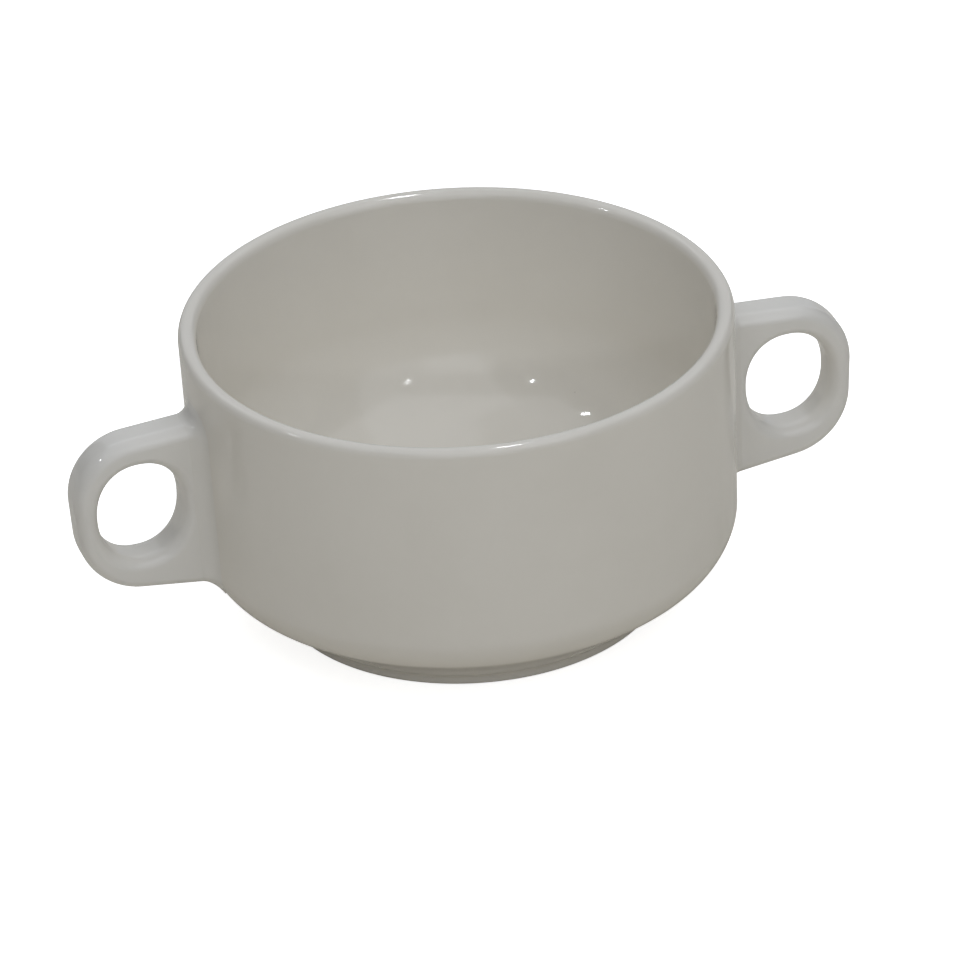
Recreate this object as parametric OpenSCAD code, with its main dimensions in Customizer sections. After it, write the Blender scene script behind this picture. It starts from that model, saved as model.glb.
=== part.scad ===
// Two-handled stacking consomme cup in glazed porcelain.
// Millimetres, +Z up, origin on the cup's axis at the height of the surface it stands on.
// The handles point along +X and -X.

/* [Cup] */
// Outside diameter at the rim
rim_d = 105; // [98:1:112]
// Height of the cup
cup_h = 59; // [57:0.5:64]
// Thickness of the wall at its lip
lip_t = 3.4; // [3:0.1:4]
// Radius of the round on the inner side of the lip
lip_in_r = 1.8; // [1.2:0.1:2]
// Thickness of the wall where it turns into the dish
wall_t = 4.8; // [4.2:0.1:5.6]
// How far the outside of the wall draws in from the rim down to the shoulder
wall_draw = 1.2; // [0.4:0.1:2]
// Thickness of the floor
floor_t = 5; // [4:0.1:6.5]

/* [Dish inside] */
// Height of the corner where the wall turns into the dish
bend_h = 23; // [21:0.5:25]
// Radius of the round on that corner
bend_r = 22; // [16:0.5:26]
// Slope of the dish, from the wall down to the floor
dish_slope = 38; // [34:1:42]
// Radius of the round between the dish and the floor
well_r = 14; // [10:0.5:18]

/* [Stacking shoulder and foot] */
// Height of the corner where the wall turns into the sloping shoulder
shoulder_h = 13; // [11:0.5:15]
// Radius of the round on that corner
shoulder_r = 7; // [4:0.5:8]
// Outside diameter of the foot ring
foot_d = 73.5; // [68:0.5:79]
// Height of the foot ring's upright side
foot_h = 2; // [1.5:0.1:3]
// Width of the foot ring
foot_w = 4; // [3.2:0.1:6]
// Radius of the rounds on the standing edge
foot_edge_r = 1; // [0.5:0.1:1.4]
// Depth of the recess inside the foot ring
recess_h = 2.5; // [1.5:0.1:3.5]

/* [Handles] */
// How far a handle stands out past the rim
reach = 25.3; // [23:0.1:28]
// Thickness of a handle, across its finger hole
handle_t = 9.2; // [8:0.1:10]
// Height of the rim above the top of a handle, at the wall
top_drop = 10.3; // [9:0.1:12]
// Height of the underside of a handle, at the wall
low_h = 14.6; // [14:0.1:17]
// Angle at which the top edge falls away from the wall
top_fall = 3.9; // [2:0.1:6]
// Angle at which the underside climbs away from the wall
low_climb = 7.3; // [5:0.1:9]
// Angle by which the outer end leans in towards the bottom
end_lean = 3.5; // [2:0.1:5]
// Radius of the upper outer corner
top_corner_r = 12.3; // [10:0.1:14]
// Radius of the lower outer corner
low_corner_r = 13; // [11:0.1:14.4]
// Radius of the rounds along a handle's edges
edge_r = 2; // [1.4:0.1:2]

/* [Finger hole] */
// Width of the web between the slip and the finger hole
web_w = 3.6; // [3:0.1:5]
// Width of the limb outside the finger hole
limb_w = 4.2; // [4.1:0.1:5.5]
// Height of the limb above the finger hole
top_limb_h = 5.5; // [4.5:0.1:6.5]
// Height of the limb below the finger hole
low_limb_h = 6.5; // [5.5:0.1:7.5]

/* [Luting slip] */
// Thickness of the slip between a handle and the wall
slip_t = 0.6; // [0.4:0.1:0.9]
// How far the slip shows round a handle's root
slip_bead = 1; // [0.6:0.1:1.3]

/* [Hidden] */

$fn = 96;
glaze_white = [0.80, 0.79, 0.76];
slip_white = [0.76, 0.75, 0.71];
// Overrun of cutting shapes past the faces that they cut
over = 1;
// Turn between two points of a round
arc_step = 7.5;

// Rounding the corner b between a and c with radius r: its centre, and its points from a's side to c's
function unit(v) = v / norm(v);
function half_angle(a, b, c) = acos(unit(a - b) * unit(c - b)) / 2;
function round_mid(a, b, c, r) = b + unit(unit(a - b) + unit(c - b)) * r / sin(half_angle(a, b, c));
function round_arc(a, b, c, r) =
    let (mid = round_mid(a, b, c, r))
    let (start = b + unit(a - b) * r / tan(half_angle(a, b, c)) - mid)
    let (turn = sign(cross(b - a, c - b)) * (180 - 2 * half_angle(a, b, c)))
    let (steps = ceil(abs(turn) / arc_step))
    let (first = atan2(start.y, start.x))
    [for (k = [0:steps]) mid + r * [cos(first + turn * k / steps), sin(first + turn * k / steps)]];

// Points of a closed outline whose corners are given as [point, radius]
function rounded(corners) =
    let (n = len(corners))
    [for (i = [0:n - 1])
        let (a = corners[(i + n - 1) % n][0])
        let (c = corners[(i + 1) % n][0])
        each corners[i][1] == 0 ? [corners[i][0]] : round_arc(a, corners[i][0], c, corners[i][1])];

// Half section of the cup, from the foot ring up the outside, over the lip and down the inside
rim_r = rim_d / 2;
foot_r = foot_d / 2;
recess_r = foot_r - foot_w;
floor_z = recess_h + floor_t;
lip_flat = 0.2;
lip_out_r = lip_t - lip_flat - lip_in_r;
function wall_r(z) = rim_r - wall_draw * (cup_h - z) / (cup_h - shoulder_h);
bend_x = wall_r(bend_h) - wall_t;
floor_x = bend_x - (bend_h - floor_z) / tan(dish_slope);
outside = [
    [[foot_r, 0], foot_edge_r],
    [[foot_r, foot_h], 0],
    [[wall_r(shoulder_h), shoulder_h], shoulder_r],
    [[rim_r, cup_h], lip_out_r]
];
inside = [
    [[rim_r - lip_t, cup_h], lip_in_r],
    [[bend_x, bend_h], bend_r],
    [[floor_x, floor_z], well_r],
    [[0, floor_z], 0]
];
underside = [
    [[0, recess_h], 0],
    [[recess_r, recess_h], 0],
    [[recess_r, 0], foot_edge_r]
];

// Corners of a handle in its own plane: distance from the axis, height.
// It starts inside the wall and is cut back to the slip.
root_in = 8;
root_x = rim_r - root_in;
end_x = rim_r + reach;
root_top = cup_h - top_drop;
function top_z(x) = root_top - (x - rim_r) * tan(top_fall);
function low_z(x) = low_h + (x - rim_r) * tan(low_climb);
top_root = [root_x, top_z(root_x)];
low_root = [root_x, low_z(root_x)];
top_end = [end_x, top_z(end_x)];
// The end and the underside meet this far in from the outermost corner
end_in = (top_end.y - low_z(end_x)) / (1 / tan(end_lean) - tan(low_climb));
low_end = [end_x - end_in, low_z(end_x - end_in)];
// Radius of the rounds on the two corners inside the wall
root_r = 4;
// Facets round a handle's corners and edges
lug_fn = 48;

// Finger hole, with half round ends, as far from the edges as the limbs are wide
half_z = (root_top + low_h) / 2;
hole_in = wall_r(half_z) + slip_t + web_w;
hole_out = end_x - (top_end.y - half_z) * tan(end_lean) - limb_w;
hole_x = (hole_in + hole_out) / 2;
hole_r = (hole_out - hole_in) / 2;
hole_low = low_z(hole_x) + low_limb_h + hole_r;
hole_high = top_z(hole_x) - top_limb_h - hole_r;

module cup_body() {
    color(glaze_white) rotate_extrude() polygon(rounded(concat(outside, inside, underside)));
}

// A disc of radius r as thick as a handle, with its edges rounded
module round_disc(r) {
    rotate_extrude($fn = lug_fn) polygon(rounded([
        [[0, -handle_t / 2], 0],
        [[r, -handle_t / 2], edge_r],
        [[r, handle_t / 2], edge_r],
        [[0, handle_t / 2], 0]
    ]));
}

// A handle without its hole, lying flat with its thickness upright
module lug() {
    hull() {
        translate(round_mid(low_root, top_root, top_end, root_r)) round_disc(root_r);
        translate(round_mid(top_root, top_end, low_end, top_corner_r)) round_disc(top_corner_r);
        translate(round_mid(top_end, low_end, low_root, low_corner_r)) round_disc(low_corner_r);
        translate(round_mid(low_end, low_root, top_root, root_r)) round_disc(root_r);
    }
}

// Half section of the finger hole, opening into the rounds along its edges
module hole_section() {
    face = handle_t / 2;
    tall = face + over;
    wide = hole_r + edge_r;
    polygon(rounded([
        [[0, -tall], 0],
        [[wide, -tall], 0],
        [[wide, -face], 0],
        [[hole_r, -face], edge_r],
        [[hole_r, face], edge_r],
        [[wide, face], 0],
        [[wide, tall], 0],
        [[0, tall], 0]
    ]));
}

// The finger hole, lying flat like the handle
module finger_hole() {
    for (y = [hole_low, hole_high])
        translate([hole_x, y]) rotate_extrude() hole_section();
    translate([hole_x, hole_high]) rotate([90, 0, 0]) linear_extrude(hole_high - hole_low) {
        hole_section();
        mirror([1, 0]) hole_section();
    }
}

// The cup's wall with the slip's thickness added, filled to the axis
module slip_solid() {
    rotate_extrude() polygon([
        [0, 0],
        [wall_r(0) + slip_t, 0],
        [rim_r + slip_t, cup_h],
        [0, cup_h]
    ]);
}

// The handle on the +X side
module handle() {
    difference() {
        rotate([90, 0, 0]) difference() {
            lug();
            finger_hole();
        }
        slip_solid();
    }
}

// The slip on the +X side: the handle's root with the bead all round, drawn out along X
module slip() {
    corner_r = edge_r + slip_bead;
    half_w = handle_t / 2 + slip_bead;
    low = low_h - slip_bead;
    high = root_top + slip_bead;
    difference() {
        intersection() {
            slip_solid();
            translate([root_x, 0, 0]) rotate(120, [1, 1, 1]) linear_extrude(reach) polygon(rounded([
                [[-half_w, low], corner_r],
                [[half_w, low], corner_r],
                [[half_w, high], corner_r],
                [[-half_w, high], corner_r]
            ]));
        }
        rotate_extrude() polygon(rounded(concat([[[0, 0], 0]], outside, [[[0, cup_h], 0]])));
    }
}

module right_handle() {
    color(glaze_white) handle();
}

module left_handle() {
    color(glaze_white) mirror([1, 0, 0]) handle();
}

module right_handle_slip() {
    color(slip_white) slip();
}

module left_handle_slip() {
    color(slip_white) mirror([1, 0, 0]) slip();
}

cup_body();
left_handle();
right_handle();
left_handle_slip();
right_handle_slip();
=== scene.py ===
"""Dresses a two-handled consomme cup in glazed porcelain, and lights it in a small studio.

Lengths are in metres in the frame of the part: +Z up, the handles along X, the cup standing on z = 0.
"""

import logging
import math
from dataclasses import dataclass, field
from enum import Enum
from typing import Any, ClassVar, Union

import bmesh
import bpy
from bmesh.types import BMEdge, BMesh, BMVert
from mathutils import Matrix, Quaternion, Vector
from mathutils.bvhtree import BVHTree


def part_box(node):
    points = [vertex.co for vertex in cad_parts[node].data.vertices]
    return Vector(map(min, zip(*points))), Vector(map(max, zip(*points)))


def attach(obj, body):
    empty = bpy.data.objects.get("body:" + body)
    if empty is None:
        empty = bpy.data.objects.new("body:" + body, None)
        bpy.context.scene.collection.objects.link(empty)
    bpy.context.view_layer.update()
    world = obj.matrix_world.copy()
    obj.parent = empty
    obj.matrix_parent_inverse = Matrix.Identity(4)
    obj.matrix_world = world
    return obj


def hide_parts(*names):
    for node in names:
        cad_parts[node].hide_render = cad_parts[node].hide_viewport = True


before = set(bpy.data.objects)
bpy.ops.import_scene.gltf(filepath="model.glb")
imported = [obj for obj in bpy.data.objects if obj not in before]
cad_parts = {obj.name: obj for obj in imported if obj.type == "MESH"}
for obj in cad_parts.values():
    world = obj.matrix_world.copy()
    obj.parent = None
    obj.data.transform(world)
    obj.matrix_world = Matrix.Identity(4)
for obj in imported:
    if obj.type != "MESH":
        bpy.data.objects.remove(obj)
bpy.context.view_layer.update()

log = logging.getLogger("consomme_cup")

MM = 0.001
BODY = "root"
Colour = tuple[float, float, float]
Place = tuple[float, float, float]
Span = tuple[float, float]
Number = Union[float, "Value"]


class Side(Enum):
    """The side of the cup that a handle is on, as the sign of its X."""

    LEFT = -1
    RIGHT = 1

    @property
    def word(self) -> str:
        """The side's name as the nodes spell it."""
        return self.name.lower()


class Lamp(Enum):
    """The shapes of the studio's lamps."""

    BOX = "RECTANGLE"
    DISC = "DISK"


class Shine(Enum):
    """What a lamp does to the glaze."""

    FULL = "lights it and is mirrored in it"
    SOFT = "lights it only"
    GLINT = "is mirrored in it only"


class Value:
    """A number socket that takes part in Python expressions."""

    def __init__(self, board: "Board", socket: bpy.types.NodeSocket) -> None:
        """Keeps the socket and the board that new nodes go on."""
        self.board = board
        self.socket = socket

    def _math(self, operation: str, first: Number, second: Number) -> "Value":
        """Adds the Math node of one operation."""
        return self.board.add("ShaderNodeMath", {"operation": operation}, {0: first, 1: second}).out(0)

    def __add__(self, other: Number) -> "Value":
        """self + other."""
        return self._math("ADD", self, other)

    def __radd__(self, other: Number) -> "Value":
        """other + self."""
        return self._math("ADD", other, self)

    def __sub__(self, other: Number) -> "Value":
        """self - other."""
        return self._math("SUBTRACT", self, other)

    def __rsub__(self, other: Number) -> "Value":
        """other - self."""
        return self._math("SUBTRACT", other, self)

    def __mul__(self, other: Number) -> "Value":
        """self * other."""
        return self._math("MULTIPLY", self, other)

    def __rmul__(self, other: Number) -> "Value":
        """other * self."""
        return self._math("MULTIPLY", other, self)

    def __gt__(self, other: Number) -> "Value":
        """1 where self is above other, 0 elsewhere."""
        return self._math("GREATER_THAN", self, other)

    def __lt__(self, other: Number) -> "Value":
        """1 where self is below other, 0 elsewhere."""
        return self._math("LESS_THAN", self, other)

    def step(self, start: float, end: float) -> "Value":
        """Turns the value into a soft step.

        Args:
            start: where the step is 0.
            end: where it is 1; it may be below start.

        Returns:
            A value from 0 to 1.
        """
        ends = {"From Min": start, "From Max": end, "To Min": 0.0, "To Max": 1.0}
        if end < start:
            ends = {"From Min": end, "From Max": start, "To Min": 1.0, "To Max": 0.0}
        soft = {"interpolation_type": "SMOOTHSTEP"}
        return self.board.add("ShaderNodeMapRange", soft, {"Value": self, **ends}).out(0)


class Added:
    """A node on a board, whose outputs are read as values."""

    def __init__(self, board: "Board", node: bpy.types.Node) -> None:
        """Keeps the node and its board."""
        self.board = board
        self.node = node

    def out(self, key: Union[int, str]) -> Value:
        """The output of that number or name."""
        return Value(self.board, self.node.outputs[key])


class Board:
    """The node tree of one material."""

    NOISE_MIDDLE = 0.5
    NOISE_ROUGHNESS = 0.55
    # The sockets that a Mix node uses for colours share their names with others, so they go by number
    MIX_SHARE, MIX_FIRST, MIX_SECOND, MIX_RESULT = 0, 6, 7, 2

    def __init__(self, name: str) -> None:
        """Starts an empty material.

        Args:
            name: the material's name.
        """
        self.material = bpy.data.materials.new(name)
        self.material.use_nodes = True
        self.tree = self.material.node_tree
        self.tree.nodes.clear()

    def add(self, kind: str, settings: dict[str, Any], inputs: dict[Union[int, str], Any]) -> Added:
        """Adds a node.

        Args:
            kind: the node's type.
            settings: its properties, set before its sockets.
            inputs: its sockets' values, or the values on this board that feed them.

        Returns:
            The node, ready to be read.
        """
        node = self.tree.nodes.new(kind)
        for key, setting in settings.items():
            setattr(node, key, setting)
        for key, given in inputs.items():
            if isinstance(given, Value):
                self.tree.links.new(given.socket, node.inputs[key])
            else:
                node.inputs[key].default_value = given
        return Added(self, node)

    def mix(self, share: Number, first: Any, second: Any) -> Value:
        """Mixes two colours.

        Args:
            share: how much of the second colour is taken.
            first: a colour, or a value that carries one.
            second: the other.

        Returns:
            The mixed colour.
        """
        ends = [c if isinstance(c, Value) else (*c, 1.0) for c in (first, second)]
        inputs = {self.MIX_SHARE: share, self.MIX_FIRST: ends[0], self.MIX_SECOND: ends[1]}
        return self.add("ShaderNodeMix", {"data_type": "RGBA"}, inputs).out(self.MIX_RESULT)

    def place(self) -> Value:
        """The piece's own coordinates."""
        return self.add("ShaderNodeTexCoord", {}, {}).out("Object")

    def noise(self, place: Value, size: float, detail: float) -> Value:
        """Cloudy noise.

        Args:
            place: the coordinates that it lies on.
            size: the width of a patch.
            detail: how many finer layers it has.

        Returns:
            A value around NOISE_MIDDLE.
        """
        inputs = {"Vector": place, "Scale": 1.0 / size, "Detail": detail, "Roughness": self.NOISE_ROUGHNESS}
        return self.add("ShaderNodeTexNoise", {"noise_dimensions": "3D"}, inputs).out("Fac")

    def finish(self, look: dict[str, Any]) -> bpy.types.Material:
        """Ends the material in its shader.

        Args:
            look: the shader's sockets, and what each is given.

        Returns:
            The material.
        """
        shader = self.add("ShaderNodeBsdfPrincipled", {}, look)
        self.add("ShaderNodeOutputMaterial", {}, {"Surface": shader.out(0)})
        return self.material


@dataclass(frozen=True)
class Glaze:
    """Clear glossy glaze over fired clay, slightly clouded, grained, specked and rippled.

    A piece is bare below the height bare_below. The steps are the ends of soft steps, and the shares, depths
    and reliefs weigh one part of the look against the others.
    """

    name: str
    clay: Colour
    pooled: Colour
    pool_share: float = 0.0
    pool_step: Span = (0.42, 0.72)
    cloud_size: float = 34 * MM
    cloud_share: float = 0.30
    grain_size: float = 2.4 * MM
    grain_share: float = 0.16
    speck: Colour = (0.19, 0.15, 0.11)
    speck_gap: float = 4.5 * MM
    speck_step: Span = (0.055, 0.02)
    speck_share: float = 0.03
    speck_depth: float = 0.18
    bare: Colour = (0.60, 0.56, 0.48)
    bare_shade: float = 0.86
    bare_below: float = -1.0
    bare_blend: float = 0.12 * MM
    bare_wander: float = 0.5 * MM
    bare_roughness: float = 0.72
    gloss: float = 0.05
    smudge: float = 0.05
    smudge_step: Span = (0.35, 0.75)
    grain_smudge: float = 0.03
    ripple_size: float = 11 * MM
    ripple_relief: float = 0.35
    grain_relief: float = 0.04
    bare_relief: float = 0.5
    speck_relief: float = 0.12
    bump: float = 0.35
    bump_height: float = 0.05 * MM
    ior: float = 1.5

    def make(self) -> bpy.types.Material:
        """Builds the material.

        Returns:
            The glaze, read on the piece's own coordinates.
        """
        board = Board(self.name)
        place = board.place()
        cloud = board.noise(place, self.cloud_size, detail=3.0)
        grain = board.noise(place, self.grain_size, detail=2.0)
        ripple = board.noise(place, self.ripple_size, detail=1.0)
        uneven = grain - board.NOISE_MIDDLE
        spot = self.spots(board, place)
        foot = self.foot(board, place, cloud)

        depth = self.pool_share + cloud.step(*self.pool_step) * self.cloud_share + uneven * self.grain_share
        tone = board.mix(depth, self.clay, self.pooled)
        tone = board.mix(spot * self.speck_depth, tone, self.speck)
        chalk = board.mix(grain, self.bare, tuple(self.bare_shade * c for c in self.bare))
        shine = self.gloss + cloud.step(*self.smudge_step) * self.smudge + uneven * self.grain_smudge
        relief = ripple * self.ripple_relief - spot * self.speck_relief
        relief = relief + grain * (self.grain_relief + foot * self.bare_relief)
        bump = {"Strength": self.bump, "Distance": self.bump_height, "Height": relief}
        return board.finish(
            {
                "Base Color": board.mix(foot, tone, chalk),
                "Roughness": shine + (self.bare_roughness - shine) * foot,
                "Normal": board.add("ShaderNodeBump", {}, bump).out(0),
                "IOR": self.ior,
            }
        )

    def spots(self, board: Board, place: Value) -> Value:
        """Scatters the fine specks.

        Args:
            board: the material's board.
            place: the coordinates that they lie on.

        Returns:
            1 in the middle of a speck, 0 outside it.
        """
        spread = {"Vector": place, "Scale": 1.0 / self.speck_gap}
        cells = board.add("ShaderNodeTexVoronoi", {"feature": "F1"}, spread)
        pick = board.add("ShaderNodeSeparateColor", {}, {0: cells.out("Color")}).out(0)
        return cells.out("Distance").step(*self.speck_step) * (pick > 1.0 - self.speck_share)

    def foot(self, board: Board, place: Value, cloud: Value) -> Value:
        """Finds where the glaze was wiped off before firing.

        Args:
            board: the material's board.
            place: the piece's own coordinates.
            cloud: noise that makes the edge of the glaze wander.

        Returns:
            1 where the clay is bare, 0 where it is glazed.
        """
        height = board.add("ShaderNodeSeparateXYZ", {}, {0: place}).out("Z")
        edge = height + (cloud - board.NOISE_MIDDLE) * self.bare_wander
        return edge.step(self.bare_below + self.bare_blend, self.bare_below - self.bare_blend)


@dataclass(frozen=True)
class PaintedFloor:
    """A matt, pale sheet of the studio's floor with a faint mottle, which may glow."""

    name: str
    paint: Colour
    glow: float
    glow_colour: Colour = (1.0, 1.0, 1.0)
    mottle_size: float = 300 * MM
    mottle_shade: float = 0.985
    roughness: float = 0.85

    def make(self) -> bpy.types.Material:
        """Builds the material.

        Returns:
            The paint, read on the sheet's own coordinates.
        """
        board = Board(self.name)
        mottle = board.noise(board.place(), self.mottle_size, detail=2.0)
        return board.finish(
            {
                "Base Color": board.mix(mottle, self.paint, tuple(self.mottle_shade * c for c in self.paint)),
                "Roughness": self.roughness,
                "Emission Color": (*self.glow_colour, 1.0),
                "Emission Strength": self.glow,
            }
        )


LIGHT_TABLE = PaintedFloor("light_table", paint=(0.90, 0.90, 0.90), glow=0.78)
BOUNCE_BOARD = PaintedFloor("bounce_board", paint=(0.78, 0.745, 0.67), glow=0.013)
BODY_GLAZE = Glaze(
    name="body_glaze",
    clay=(0.815, 0.783, 0.712),
    pooled=(0.755, 0.722, 0.645),
    bare_below=0.3 * MM,
)
HANDLE_GLAZE = Glaze(
    name="handle_glaze",
    clay=(0.793, 0.774, 0.727),
    pooled=(0.737, 0.717, 0.662),
)
SLIP_GLAZE = Glaze(
    name="slip_glaze",
    clay=(0.805, 0.785, 0.737),
    pooled=(0.720, 0.697, 0.635),
    pool_share=0.25,
)


@dataclass(frozen=True)
class Corner:
    """A corner of a section: its place, and the radius that rounds it."""

    x: float
    z: float
    radius: float = 0.0


class Former:
    """Shapes meshes and hands finished pieces to the frame."""

    ARC_STEP = math.radians(5)
    SHARP = math.radians(40)
    MERGE = 0.001 * MM

    @classmethod
    def section(cls, corners: list[Corner], closed: bool) -> BMesh:
        """Draws a section in the XZ plane with its corners rounded.

        Args:
            corners: the section's corners in order.
            closed: whether the last corner joins the first.

        Returns:
            A mesh of the section's edges.
        """
        bm = bmesh.new()
        points = [bm.verts.new((c.x, 0, c.z)) for c in corners]
        runs = list(zip(points, points[1:])) + ([(points[-1], points[0])] if closed else [])
        for start, end in runs:
            bm.edges.new((start, end))
        for point, corner in zip(points, corners):
            if corner.radius:
                cls.round(bm, point, corner.radius)
        return bm

    @classmethod
    def round(cls, bm: BMesh, point: BMVert, radius: float) -> None:
        """Rounds the corner between two edges.

        Args:
            bm: the mesh of the section.
            point: the corner.
            radius: the radius of the round.
        """
        ends = [(edge.other_vert(point).co - point.co).normalized() for edge in point.link_edges]
        opening = ends[0].angle(ends[1])
        bmesh.ops.bevel(
            bm,
            geom=[point],
            offset=radius / math.tan(opening / 2),
            offset_type="OFFSET",
            segments=max(2, math.ceil((math.pi - opening) / cls.ARC_STEP)),
            profile=0.5,
            affect="VERTICES",
            material=-1,
        )

    @staticmethod
    def divide(bm: BMesh, longest: float) -> None:
        """Cuts the edges of a section into short ones.

        Args:
            bm: the mesh of the section.
            longest: the length that no edge is to pass.
        """
        for edge in list(bm.edges):
            cuts = math.ceil(edge.calc_length() / longest) - 1
            if cuts > 0:
                bmesh.ops.subdivide_edges(bm, edges=[edge], cuts=cuts)

    @classmethod
    def spin(cls, bm: BMesh, centre: Vector, axis: Vector, steps: int) -> None:
        """Turns a section once round an axis and closes its poles.

        Args:
            bm: the mesh of the section.
            centre: a point on the axis.
            axis: the direction of the axis.
            steps: the number of steps in the turn.
        """
        bmesh.ops.spin(
            bm,
            geom=bm.verts[:] + bm.edges[:],
            cent=centre,
            axis=axis,
            angle=2 * math.pi,
            steps=steps,
            use_merge=True,
        )
        bmesh.ops.remove_doubles(bm, verts=bm.verts[:], dist=cls.MERGE)

    @classmethod
    def place(cls, bm: BMesh, name: str, node: str, slot: str, finish: Glaze) -> bpy.types.Object:
        """Makes a mesh a piece that stands for a node of the frame.

        Args:
            bm: the finished mesh, in the frame.
            name: the piece's name.
            node: the node that it stands for.
            slot: the name of a material slot; not used.
            finish: its finish.

        Returns:
            The piece.
        """
        bmesh.ops.recalc_face_normals(bm, faces=bm.faces[:])
        mesh = bpy.data.meshes.new(name)
        bm.to_mesh(mesh)
        bm.free()
        mesh.shade_smooth()
        mesh.set_sharp_from_angle(angle=cls.SHARP)
        mesh.materials.append(finish.make())
        piece = bpy.data.objects.new(name, mesh)
        bpy.context.scene.collection.objects.link(piece)
        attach(piece, BODY)
        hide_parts(node)
        log.info("%s: %d faces", name, len(mesh.polygons))
        return piece


@dataclass
class CupBody:
    """The turned cup: foot ring, stacking shoulder, wall, lip, dish and well."""

    rim_r: float
    height: float
    lip_t: float = 3.4 * MM
    lip_out_r: float = 1.5 * MM
    lip_in_r: float = 1.8 * MM
    wall_t: float = 4.8 * MM
    wall_draw: float = 1.2 * MM
    floor_z: float = 7.5 * MM
    bend_h: float = 23.0 * MM
    bend_r: float = 22.0 * MM
    dish_slope: float = math.radians(38)
    well_r: float = 14.0 * MM
    shoulder_h: float = 13.0 * MM
    shoulder_r: float = 8.5 * MM
    foot_r: float = 36.75 * MM
    foot_h: float = 2.0 * MM
    foot_w: float = 4.0 * MM
    foot_edge_r: float = 1.0 * MM
    foot_nook_r: float = 1.8 * MM
    recess_h: float = 2.5 * MM
    recess_nook_r: float = 1.4 * MM
    row: float = 1.6 * MM
    steps: int = 240
    skin: BVHTree = field(init=False)

    @classmethod
    def from_frame(cls) -> "CupBody":
        """Takes the rim and the height from the frame."""
        low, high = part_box("cup_body")
        return cls(rim_r=max(high.x, high.y), height=high.z - low.z)

    def corners(self) -> list[Corner]:
        """Lists the corners of the half section.

        Returns:
            The corners from the middle of the underside, up the outside and down the inside.
        """
        recess_r = self.foot_r - self.foot_w
        draw = self.wall_draw * (self.height - self.bend_h) / (self.height - self.shoulder_h)
        bend_x = self.rim_r - draw - self.wall_t
        floor_x = bend_x - (self.bend_h - self.floor_z) / math.tan(self.dish_slope)
        return [
            Corner(0.0, self.recess_h),
            Corner(recess_r, self.recess_h, self.recess_nook_r),
            Corner(recess_r, 0.0, self.foot_edge_r),
            Corner(self.foot_r, 0.0, self.foot_edge_r),
            Corner(self.foot_r, self.foot_h, self.foot_nook_r),
            Corner(self.rim_r - self.wall_draw, self.shoulder_h, self.shoulder_r),
            Corner(self.rim_r, self.height, self.lip_out_r),
            Corner(self.rim_r - self.lip_t, self.height, self.lip_in_r),
            Corner(bend_x, self.bend_h, self.bend_r),
            Corner(floor_x, self.floor_z, self.well_r),
            Corner(0.0, self.floor_z),
        ]

    def build(self) -> BMesh:
        """Turns the half section into the cup, and keeps its skin for the slip to sit on.

        Returns:
            The cup's mesh.
        """
        bm = Former.section(self.corners(), closed=False)
        Former.divide(bm, self.row)
        Former.spin(bm, Vector((0, 0, 0)), Vector((0, 0, 1)), self.steps)
        self.skin = BVHTree.FromBMesh(bm)
        return bm

    def wall_at(self, y: float, z: float) -> float:
        """How far out along X the outside of the wall is at that place."""
        hit, _, _, _ = self.skin.ray_cast(Vector((2 * self.rim_r, y, z)), Vector((-1, 0, 0)))
        return hit.x

    def dress(self, glaze: Glaze) -> bpy.types.Object:
        """Builds the cup and glazes it."""
        return Former.place(self.build(), "porcelain_cup", "cup_body", "body_glaze", glaze)


@dataclass(frozen=True)
class Edge:
    """A straight edge of a handle's outline: a point on it, and its outward direction."""

    x: float
    z: float
    out: Vector

    PARALLEL: ClassVar[float] = 1e-9

    def reach(self, start: Vector, way: Vector, inset: float) -> float:
        """Measures along a ray to the edge.

        Args:
            start: where the ray starts.
            way: its direction.
            inset: how far the edge is moved in.

        Returns:
            The distance, endless where the ray runs along the edge or away from it.
        """
        slope = self.out.dot(way)
        gap = self.out.dot(Vector((self.x, self.z)) - start) - inset
        return gap / slope if slope > self.PARALLEL else math.inf


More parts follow.
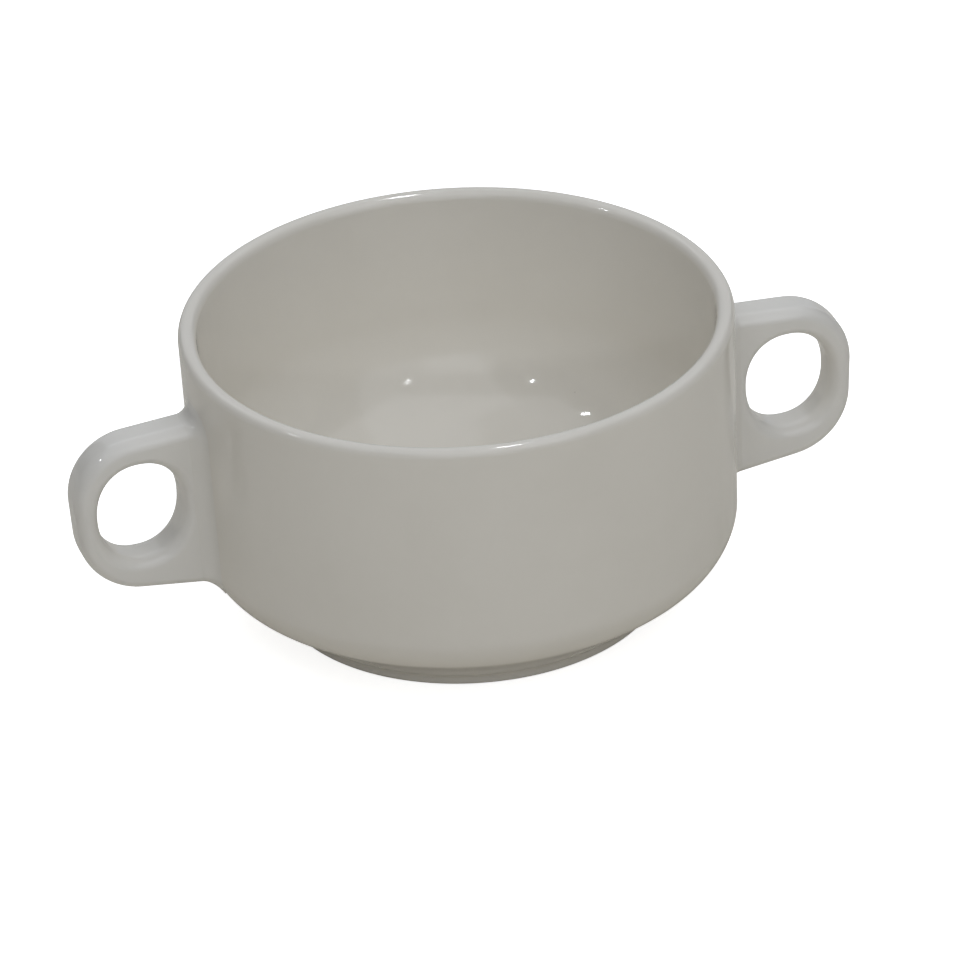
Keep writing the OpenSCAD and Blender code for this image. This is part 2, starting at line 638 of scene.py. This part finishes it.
@dataclass
class LugHandle:
    """A lug handle with rounded edges and a finger hole, sunk into the wall at its root.

    Its edges are rounded edge_depth times as far across its thickness as in its plane. The hole's outline is
    an ellipse of the power hole_square, where 2 is a plain one and more is squarer.
    """

    side: Side
    end_x: float
    half_t: float
    rim_r: float
    root_top: float
    root_low: float = 14.6 * MM
    root_x: float = 50.6 * MM
    top_fall: float = math.radians(3.9)
    low_climb: float = math.radians(7.3)
    end_lean: float = math.radians(3.5)
    top_corner_r: float = 12.3 * MM
    low_corner_r: float = 13.0 * MM
    edge_r: float = 2.05 * MM
    edge_depth: float = 1.6
    hole_x: float = 64.33 * MM
    hole_z: float = 32.5 * MM
    hole_half_w: float = 8.33 * MM
    hole_half_h: float = 9.9 * MM
    hole_square: float = 2.2
    ring_w: float = 12.0 * MM
    flat_row: float = 1.0 * MM
    steps: int = 168

    # How far the rim is above the top of a handle, and the outline's sharp outer corner past the handle's box
    TOP_DROP: ClassVar[float] = 10.3 * MM
    CORNER_PAST: ClassVar[float] = 0.7 * MM

    @classmethod
    def from_frame(cls, side: Side, cup: CupBody) -> "LugHandle":
        """Takes a handle's reach and thickness from the frame.

        Args:
            side: the side that the handle is on.
            cup: the cup that carries it.

        Returns:
            The handle.
        """
        low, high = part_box(f"{side.word}_handle")
        return cls(
            side=side,
            end_x=max(-low.x, high.x) + cls.CORNER_PAST,
            half_t=(high.y - low.y) / 2,
            rim_r=cup.rim_r,
            root_top=cup.height - cls.TOP_DROP,
        )

    def edges(self) -> list[Edge]:
        """Lists the outline's straight edges.

        Returns:
            The top, the end, the underside and the root.
        """
        top_out = Vector((math.sin(self.top_fall), math.cos(self.top_fall)))
        end_out = Vector((math.cos(self.end_lean), -math.sin(self.end_lean)))
        low_out = Vector((math.sin(self.low_climb), -math.cos(self.low_climb)))
        end_top = self.root_top - (self.end_x - self.rim_r) * math.tan(self.top_fall)
        return [
            Edge(self.rim_r, self.root_top, top_out),
            Edge(self.end_x, end_top, end_out),
            Edge(self.rim_r, self.root_low, low_out),
            Edge(self.root_x, self.root_low, Vector((-1, 0))),
        ]

    def outline_at(self, way: Vector, inset: float) -> float:
        """Measures from the middle of the hole to the outline.

        Args:
            way: the direction, in the handle's plane.
            inset: how far the outline is moved in.

        Returns:
            The distance along that direction.
        """
        start = Vector((self.hole_x, self.hole_z))
        top, end, low, root = self.edges()
        for first, second, radius in ((top, end, self.top_corner_r), (end, low, self.low_corner_r)):
            middle = self.corner_middle(first, second, radius)
            away = start - middle
            along = away.dot(way)
            half_chord_sq = (radius - inset) ** 2 - away.length_squared + along**2
            if half_chord_sq > 0:
                reach = math.sqrt(half_chord_sq) - along
                hit = start + way * reach - middle
                between = first.out.cross(hit) * second.out.cross(hit) < 0
                if between and hit.dot(first.out + second.out) > 0:
                    return reach
        return min(edge.reach(start, way, inset) for edge in (top, end, low, root))

    @staticmethod
    def corner_middle(first: Edge, second: Edge, radius: float) -> Vector:
        """Finds the middle of the round between two edges.

        Args:
            first: one edge.
            second: the edge that meets it.
            radius: the radius of the round.

        Returns:
            The middle, in the handle's plane.
        """
        a = first.out.dot(Vector((first.x, first.z))) - radius
        b = second.out.dot(Vector((second.x, second.z))) - radius
        turn = first.out.cross(second.out)
        return Vector((a * second.out.y - b * first.out.y, b * first.out.x - a * second.out.x)) / turn

    def hole_at(self, way: Vector, grown: float) -> float:
        """Measures from the middle of the hole to its edge.

        Args:
            way: the direction, in the handle's plane.
            grown: how far the hole is widened.

        Returns:
            The distance along that direction.
        """
        power = self.hole_square
        across = abs(way.x) / (self.hole_half_w + grown)
        upright = abs(way.y) / (self.hole_half_h + grown)
        return (across**power + upright**power) ** (-1 / power)

    def build(self) -> BMesh:
        """Turns a rounded bar round the hole, then draws the ring out to the handle's outline.

        Returns:
            The handle's mesh.
        """
        inner, outer = self.hole_half_w, self.hole_half_w + self.ring_w
        half = self.half_t / self.edge_depth
        bar = Former.section(
            [
                Corner(self.hole_x + inner, -half, self.edge_r),
                Corner(self.hole_x + outer, -half, self.edge_r),
                Corner(self.hole_x + outer, half, self.edge_r),
                Corner(self.hole_x + inner, half, self.edge_r),
            ],
            closed=True,
        )
        Former.divide(bar, self.flat_row)
        for point in bar.verts:
            point.co = Vector((point.co.x, point.co.z * self.edge_depth, self.hole_z))
        Former.spin(bar, Vector((self.hole_x, 0, self.hole_z)), Vector((0, 1, 0)), self.steps)
        for point in bar.verts:
            spoke = Vector((point.co.x - self.hole_x, point.co.z - self.hole_z))
            way = spoke.normalized()
            spoke = way * self.drawn_out(way, spoke.length - inner, outer - spoke.length)
            point.co = Vector((self.side.value * (self.hole_x + spoke.x), point.co.y, self.hole_z + spoke.y))
        return bar

    def drawn_out(self, way: Vector, from_hole: float, from_edge: float) -> float:
        """Places a point of the ring between the hole and the outline.

        Args:
            way: the point's direction from the middle of the hole.
            from_hole: its distance from the ring's inner side.
            from_edge: its distance from the ring's outer side.

        Returns:
            The point's new distance from the middle of the hole.
        """
        if from_hole <= self.edge_r:
            return self.hole_at(way, from_hole)
        if from_edge <= self.edge_r:
            return self.outline_at(way, from_edge)
        near = self.hole_at(way, self.edge_r)
        far = self.outline_at(way, self.edge_r)
        share = (from_hole - self.edge_r) / (from_hole + from_edge - 2 * self.edge_r)
        return near + (far - near) * share

    def dress(self, glaze: Glaze) -> bpy.types.Object:
        """Builds the handle and glazes it."""
        word = self.side.word
        return Former.place(self.build(), f"{word}_lug", f"{word}_handle", "handle_glaze", glaze)


@dataclass(frozen=True)
class Spot:
    """A place on a root's outline: its core point, its way out, and how the handle's edge slopes there."""

    y: float
    z: float
    way: Vector
    slope: float


Spots = dict[BMVert, Spot]


@dataclass
class RootSlip:
    """The wiped slip round a handle's root: a hollow fillet between the handle and the wall.

    Its two edges are sunk a little into the handle and the wall, and its back further into the wall.
    """

    handle: LugHandle
    cup: CupBody
    fillet: float = 2.8 * MM
    sunk: float = 0.012 * MM
    back_in: float = 0.2 * MM
    back_sunk: float = 0.3 * MM
    rows: int = 10
    row: float = 1.0 * MM

    def build(self) -> BMesh:
        """Draws the root's outline out along the fillet and closes it at the back.

        Returns:
            The slip's mesh.
        """
        lug = self.handle
        low, high = lug.root_low, lug.root_top
        half = lug.half_t / lug.edge_depth
        bm = Former.section(
            [
                Corner(-half, low, lug.edge_r),
                Corner(half, low, lug.edge_r),
                Corner(half, high, lug.edge_r),
                Corner(-half, high, lug.edge_r),
            ],
            closed=True,
        )
        Former.divide(bm, self.row)
        spots = {point: self.spot(point.co) for point in bm.verts}
        ring = bm.edges[:]
        self.settle(spots, -self.sunk, self.fillet)
        for row in range(1, self.rows + 1):
            turn = math.pi / 2 * row / self.rows
            out = self.fillet * (1 - math.cos(turn)) - self.sunk
            lift = self.fillet * (1 - math.sin(turn)) - self.sunk
            ring, spots = self.grow(bm, ring, spots)
            self.settle(spots, out, lift)
        ring, spots = self.grow(bm, ring, spots)
        self.settle(spots, self.fillet - self.back_in, -self.back_sunk)
        bmesh.ops.contextual_create(bm, geom=ring)
        bmesh.ops.contextual_create(bm, geom=[edge for edge in bm.edges if edge.is_boundary])
        return bm

    def spot(self, at: Vector) -> Spot:
        """Finds where a point of the root's outline lies.

        Args:
            at: the point, in the XZ plane, before the handle's edges are drawn deeper.

        Returns:
            The point's place on the outline.
        """
        lug = self.handle
        half = lug.half_t / lug.edge_depth - lug.edge_r
        low, high = lug.root_low + lug.edge_r, lug.root_top - lug.edge_r
        core = Vector((min(max(at.x, -half), half), min(max(at.z, low), high)))
        way = (Vector((at.x, at.z)) - core).normalized()
        share = (core.y - low) / (high - low)
        slope = (1 - share) * math.tan(lug.low_climb) - share * math.tan(lug.top_fall)
        return Spot(core.x * lug.edge_depth, core.y, way, slope)

    @staticmethod
    def grow(bm: BMesh, ring: list[BMEdge], spots: Spots) -> tuple[list[BMEdge], Spots]:
        """Adds the next row of the fillet.

        Args:
            bm: the slip's mesh.
            ring: the edges of the last row.
            spots: the place on the outline of each of its points.

        Returns:
            The edges and the places of the new row.
        """
        grown = bmesh.ops.extrude_edge_only(bm, edges=ring)["geom"]
        edges = [part for part in grown if isinstance(part, BMEdge)]
        kept = {}
        for point in (part for part in grown if isinstance(part, BMVert)):
            near = [edge.other_vert(point) for edge in point.link_edges]
            kept[point] = next(spots[below] for below in near if below in spots)
        return edges, kept

    def settle(self, spots: Spots, out: float, lift: float) -> None:
        """Moves a row out round the root and up from the wall.

        Args:
            spots: the row's points, and the place of each on the outline.
            out: how far outside the root's outline the row runs.
            lift: how far it stands off the wall.
        """
        lug = self.handle
        for point, spot in spots.items():
            y = spot.y + spot.way.x * (lug.edge_r * lug.edge_depth + out)
            z = spot.z + spot.way.y * (lug.edge_r + out)
            x = self.cup.wall_at(y, z) + lift
            point.co = Vector((lug.side.value * x, y, z + (x - lug.rim_r) * spot.slope))

    def dress(self, glaze: Glaze) -> bpy.types.Object:
        """Builds the slip and glazes it."""
        word = self.handle.side.word
        return Former.place(self.build(), f"{word}_root_fillet", f"{word}_handle_slip", "slip_glaze", glaze)


@dataclass(frozen=True)
class Light:
    """One lamp of the studio, aimed at the cup. A box without a height of its own is square."""

    name: str
    at: Place
    size: float
    watts: float
    tall: float = 0.0
    shape: Lamp = Lamp.BOX
    shine: Shine = Shine.FULL

    def hang(self, aim: Vector, colour: Colour) -> None:
        """Puts the lamp in the scene.

        Args:
            aim: the point that it shines at.
            colour: the colour of its light.
        """
        lamp = bpy.data.lights.new(self.name, "AREA")
        lamp.shape = self.shape.value
        lamp.size = self.size
        if self.shape is Lamp.BOX:
            lamp.size_y = self.tall or self.size
        lamp.energy = self.watts
        lamp.color = colour
        holder = bpy.data.objects.new(self.name, lamp)
        holder.location = self.at
        holder.visible_diffuse = self.shine is not Shine.GLINT
        holder.visible_glossy = self.shine is not Shine.SOFT
        holder.rotation_mode = "QUATERNION"
        holder.rotation_quaternion = (aim - Vector(self.at)).to_track_quat("-Z", "Y")
        bpy.context.scene.collection.objects.link(holder)


@dataclass
class Studio:
    """Floor, lamps, surroundings and camera, whose lens and sensor are in Blender's millimetres."""

    floor_size: float = 8.0
    table_z: float = -0.02 * MM
    board_z: float = -0.3 * MM
    daylight: Colour = (0.93, 0.955, 1.0)
    surround_strength: float = 0.096
    lamp_aim: Place = (0.0, 0.0, 30.0 * MM)
    camera_at: Place = (-490.2 * MM, -1670.2 * MM, 1010.0 * MM)
    camera_aim: Place = (2.5 * MM, -1.5 * MM, 23.7 * MM)
    camera_roll: float = math.radians(-3.2)
    camera_lens: float = 395.9
    camera_sensor: float = 36.0
    camera_range: float = 50.0
    lights: tuple[Light, ...] = (
        Light("front_box", at=(0.08, -1.28, 1.53), size=2.2, watts=10.5),
        Light("top_box", at=(0.1, 0.2, 1.8), size=3.2, watts=21.8),
        Light("back_box", at=(0.55, 1.92, 0.95), size=2.4, watts=9.2),
        Light("camera_box", at=(-0.6, -1.9, 0.75), size=1.2, watts=2.1),
        Light("flash", at=(-0.377, -1.367, 0.585), size=0.06, watts=0.95, shape=Lamp.DISC, shine=Shine.SOFT),
        Light("strip_right", at=(0.240, -1.185, 0.905), size=0.03, tall=0.06, watts=0.2, shine=Shine.GLINT),
        Light("strip_left", at=(-0.990, -0.660, 0.935), size=0.03, tall=0.06, watts=0.3, shine=Shine.GLINT),
        Light("strip_side", at=(-1.020, 0.195, 1.100), size=0.05, tall=0.11, watts=1.1, shine=Shine.GLINT),
        Light("strip_back", at=(0.252, 0.261, 1.485), size=0.06, tall=0.16, watts=3.0, shine=Shine.GLINT),
    )

    def lay(self, height: float, paint: PaintedFloor) -> bpy.types.Object:
        """Lays one of the floor's two sheets, named after its paint.

        Args:
            height: the sheet's height.
            paint: its finish.

        Returns:
            The sheet.
        """
        bm = bmesh.new()
        bmesh.ops.create_grid(bm, x_segments=2, y_segments=2, size=self.floor_size / 2)
        bmesh.ops.translate(bm, verts=bm.verts[:], vec=(0, 0, height))
        mesh = bpy.data.meshes.new(paint.name)
        bm.to_mesh(mesh)
        bm.free()
        mesh.materials.append(paint.make())
        sheet = bpy.data.objects.new(paint.name, mesh)
        bpy.context.scene.collection.objects.link(sheet)
        return sheet

    def lay_floor(self) -> None:
        """Lays the light table that is seen, and under it the board that throws light back at the cup."""
        table = self.lay(self.table_z, LIGHT_TABLE)
        table.visible_diffuse = table.visible_glossy = table.visible_shadow = False
        board = self.lay(self.board_z, BOUNCE_BOARD)
        board.visible_camera = False

    def light(self) -> None:
        """Hangs the lamps and sets the even surroundings."""
        for lamp in self.lights:
            lamp.hang(Vector(self.lamp_aim), self.daylight)
        world = bpy.data.worlds.new("studio")
        world.use_nodes = True
        sky = world.node_tree.nodes["Background"]
        sky.inputs["Color"].default_value = (*self.daylight, 1.0)
        sky.inputs["Strength"].default_value = self.surround_strength
        bpy.context.scene.world = world

    def set_camera(self) -> None:
        """Puts the camera where the photograph was taken from."""
        lens = bpy.data.cameras.new("photo_camera")
        lens.sensor_width = self.camera_sensor
        lens.lens = self.camera_lens
        lens.clip_end = self.camera_range
        camera = bpy.data.objects.new("photo_camera", lens)
        camera.location = self.camera_at
        camera.rotation_mode = "QUATERNION"
        look = (Vector(self.camera_aim) - Vector(self.camera_at)).to_track_quat("-Z", "Y")
        camera.rotation_quaternion = look @ Quaternion((0, 0, 1), self.camera_roll)
        bpy.context.scene.collection.objects.link(camera)
        bpy.context.scene.camera = camera
        bpy.context.scene.view_settings.view_transform = "Standard"


def main() -> None:
    """Builds the cup, its handles and their slip, then the studio."""
    logging.basicConfig(level=logging.INFO, format="%(message)s")
    cup = CupBody.from_frame()
    cup.dress(BODY_GLAZE)
    for side in Side:
        lug = LugHandle.from_frame(side, cup)
        lug.dress(HANDLE_GLAZE)
        RootSlip(lug, cup).dress(SLIP_GLAZE)
    studio = Studio()
    studio.lay_floor()
    studio.light()
    studio.set_camera()


if __name__ == "__main__":
    main()
